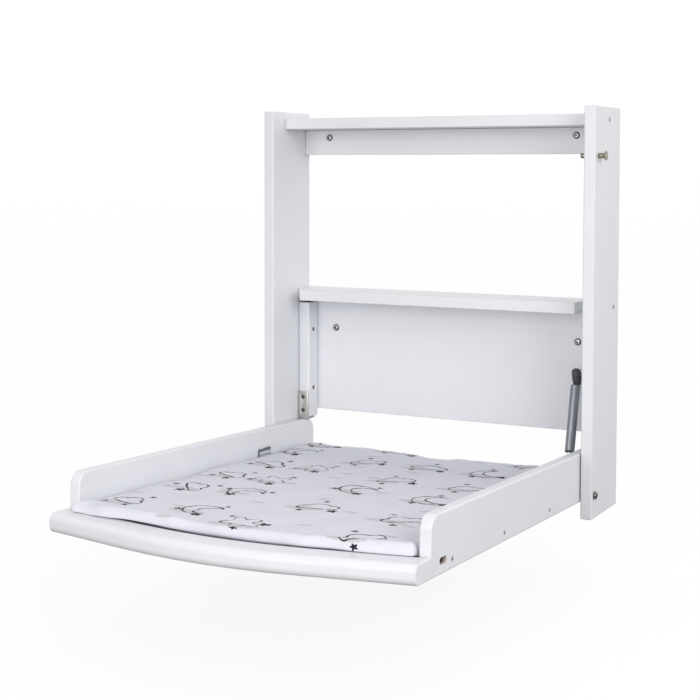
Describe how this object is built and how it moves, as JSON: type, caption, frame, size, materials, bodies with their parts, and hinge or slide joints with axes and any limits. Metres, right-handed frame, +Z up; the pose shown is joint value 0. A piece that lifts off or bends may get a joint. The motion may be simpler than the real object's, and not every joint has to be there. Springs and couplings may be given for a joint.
{
  "type": "folding baby changing station",
  "caption": "Wall-hung folding changing station: board frame with shelves, a padded bow-fronted tray that swings up on pivot bolts, a gas strut and a loose lock pin.",
  "frame": {"origin": "middle of the top rail's back face, on the wall plane", "axes": "+X to the object's right as seen from the room, +Y into the wall, +Z up"},
  "size_m": [0.5886, 0.7509, 0.622],
  "materials": {
    "white_lacquer": "smooth satin white lacquer on board",
    "mat_cotton": "printed woven cotton over thin padding",
    "steel": "plain turned steel",
    "zinc_steel": "dull zinc plate",
    "strut_tube": "satin grey paint on steel tube",
    "chrome_rod": "hard chrome",
    "dark_plastic": "charcoal moulded plastic"
  },
  "bodies": {
    "wall_frame": {"left_upright": "white_lacquer", "left_post": "white_lacquer", "left_stop_plate": "zinc_steel", "left_top_shelf_screw": "zinc_steel", "left_mid_shelf_screw": "zinc_steel", "left_post_screw_1": "zinc_steel", "left_post_screw_2": "zinc_steel", "left_plate_screw_1": "zinc_steel", "left_plate_screw_2": "zinc_steel", "left_rail_wall_screw": "steel", "left_rail_wall_screw_washer": "zinc_steel", "left_panel_wall_screw": "steel", "left_panel_wall_screw_washer": "zinc_steel", "left_pivot_bush": "dark_plastic", "right_upright": "white_lacquer", "right_post": "white_lacquer", "right_stop_plate": "zinc_steel", "right_top_shelf_screw": "zinc_steel", "right_mid_shelf_screw": "zinc_steel", "right_post_screw_1": "zinc_steel", "right_post_screw_2": "zinc_steel", "right_plate_screw_1": "zinc_steel", "right_plate_screw_2": "zinc_steel", "right_rail_wall_screw": "steel", "right_rail_wall_screw_washer": "zinc_steel", "right_panel_wall_screw": "steel", "right_panel_wall_screw_washer": "zinc_steel", "right_pivot_bush": "dark_plastic", "top_shelf": "white_lacquer", "mid_shelf": "white_lacquer", "top_rail": "white_lacquer", "back_panel": "white_lacquer", "strut_upper_stud": "steel"},
    "tray": {"left_tray_side": "white_lacquer", "left_side_screw_1": "zinc_steel", "left_side_screw_2": "zinc_steel", "left_side_screw_3": "zinc_steel", "left_lip_dowel": "white_lacquer", "left_pivot_bolt": "steel", "left_pivot_washer": "zinc_steel", "right_tray_side": "white_lacquer", "right_side_screw_1": "zinc_steel", "right_side_screw_2": "zinc_steel", "right_side_screw_3": "zinc_steel", "right_lip_dowel": "white_lacquer", "right_pivot_bolt": "steel", "right_pivot_washer": "zinc_steel", "tray_floor": "white_lacquer", "front_lip": "white_lacquer", "changing_mat": "mat_cotton", "strut_lower_mount": "steel"},
    "strut_cylinder": {"strut_cylinder": "strut_tube", "strut_upper_socket": "dark_plastic", "strut_gland": "dark_plastic"},
    "strut_rod": {"strut_rod": "chrome_rod", "strut_piston": "dark_plastic", "strut_lower_socket": "dark_plastic", "strut_lower_ball": "steel"},
    "lock_pin": {"lock_pin": "steel"}
  },
  "joints": [
    {"name": "tray_fold", "type": "hinge", "parent": "wall_frame", "child": "tray", "pos_m": [0, -0.112, -0.5357], "axis": [-1, 0, 0], "range_deg": [0, 87.8]},
    {"name": "strut_swing", "type": "hinge", "parent": "wall_frame", "child": "strut_cylinder", "pos_m": [0.2297, -0.0329, -0.3667], "axis": [-1, 0, 0], "range_deg": [0, 1.83]},
    {"name": "strut_slide", "type": "slide", "parent": "strut_cylinder", "child": "strut_rod", "axis": [0, -0.2456, -0.9694], "range_m": [0, 0.0612]},
    {"name": "lock_pin_slide", "type": "slide", "parent": "wall_frame", "child": "lock_pin", "axis": [1, 0, 0], "range_m": [-0.006, 0.0095]}
  ],
  "couplings": [
    {"joint": "strut_swing", "follows": "tray_fold", "ratio": 0.020781},
    {"joint": "strut_slide", "follows": "tray_fold", "m_per_rad": 0.039892}
  ]
}
